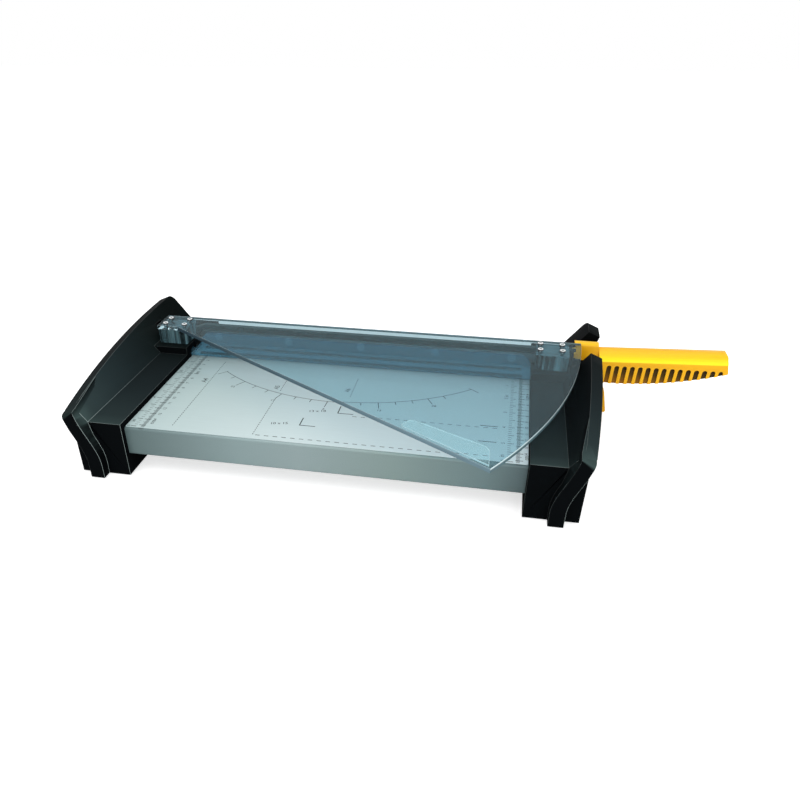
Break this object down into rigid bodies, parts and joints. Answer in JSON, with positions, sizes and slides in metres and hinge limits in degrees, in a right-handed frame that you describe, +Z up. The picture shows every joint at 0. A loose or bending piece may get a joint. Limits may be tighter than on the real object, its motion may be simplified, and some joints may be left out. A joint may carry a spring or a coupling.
{
  "type": "guillotine paper cutter",
  "caption": "Desk guillotine paper cutter with a long hinged arm, a grooved yellow handle, a fold-down clear guard, a sprung paper clamp and an arm lock.",
  "frame": {"origin": "on the table plane under the middle of the overall box", "axes": "+X along the cut towards the handle, +Y from the front of the bed towards the blade, +Z up"},
  "size_m": [0.5399, 0.2748, 0.0735],
  "materials": {
    "bed_metal": "silver-grey stoved paint, satin",
    "printed_sheet": "pale silver printed film, satin",
    "blade_steel": "ground",
    "screw_steel": "zinc plated",
    "black_plastic": "near black, satin",
    "rubber": "matt",
    "bronze": "sintered",
    "dark_steel": "dark grey, satin",
    "yellow_plastic": "warm yellow, glossy",
    "clear_guard": "clear blue-tinted plastic",
    "smoked_plastic": "smoked blue-grey translucent plastic",
    "bright_steel": "bright",
    "clear_rail": "clear blue-tinted plastic"
  },
  "bodies": {
    "base": {"bed_tray": "bed_metal", "bed_sheet": "printed_sheet", "bed_stiffeners": "bed_metal", "fixed_blade": "blade_steel", "fixed_blade_screws": "screw_steel", "left_cap": "black_plastic", "right_cap": "black_plastic", "cap_screws": "screw_steel", "rubber_feet": "rubber", "pivot_bolt": "screw_steel", "pivot_nut": "screw_steel"},
    "arm": {"pivot_bush": "bronze", "pivot_washers": "screw_steel", "arm_bar": "dark_steel", "moving_blade": "blade_steel", "moving_blade_screws": "screw_steel", "handle_root": "yellow_plastic", "handle_shell": "yellow_plastic", "handle_screws": "screw_steel"},
    "guard": {"guard_sheet": "clear_guard", "guard_grip": "clear_guard", "guard_block_left": "smoked_plastic", "guard_block_right": "smoked_plastic", "guard_screws": "bright_steel", "guard_pins": "screw_steel"},
    "clamp": {"clamp_rail": "clear_rail", "clamp_pads": "rubber", "clamp_springs": "bright_steel"},
    "lock": {"lock_slider": "yellow_plastic", "lock_pin": "screw_steel"}
  },
  "joints": [
    {"name": "arm_hinge", "type": "hinge", "parent": "base", "child": "arm", "pos_m": [-0.23102, 0.09595, 0.041], "axis": [0, -1, 0], "range_deg": [0, 45]},
    {"name": "guard_hinge", "type": "hinge", "parent": "base", "child": "guard", "pos_m": [-0.05502, 0.07595, 0.0635], "axis": [-1, 0, 0], "range_deg": [0, 90]},
    {"name": "clamp_lift", "type": "slide", "parent": "base", "child": "clamp", "axis": [0, 0, 1], "range_m": [0, 0.0025], "stiffness_N_per_m": 400, "springref_m": -0.004, "deforming": ["clamp_springs"]},
    {"name": "lock_slide", "type": "slide", "parent": "base", "child": "lock", "axis": [0, 1, 0], "range_m": [0, 0.008]}
  ]
}
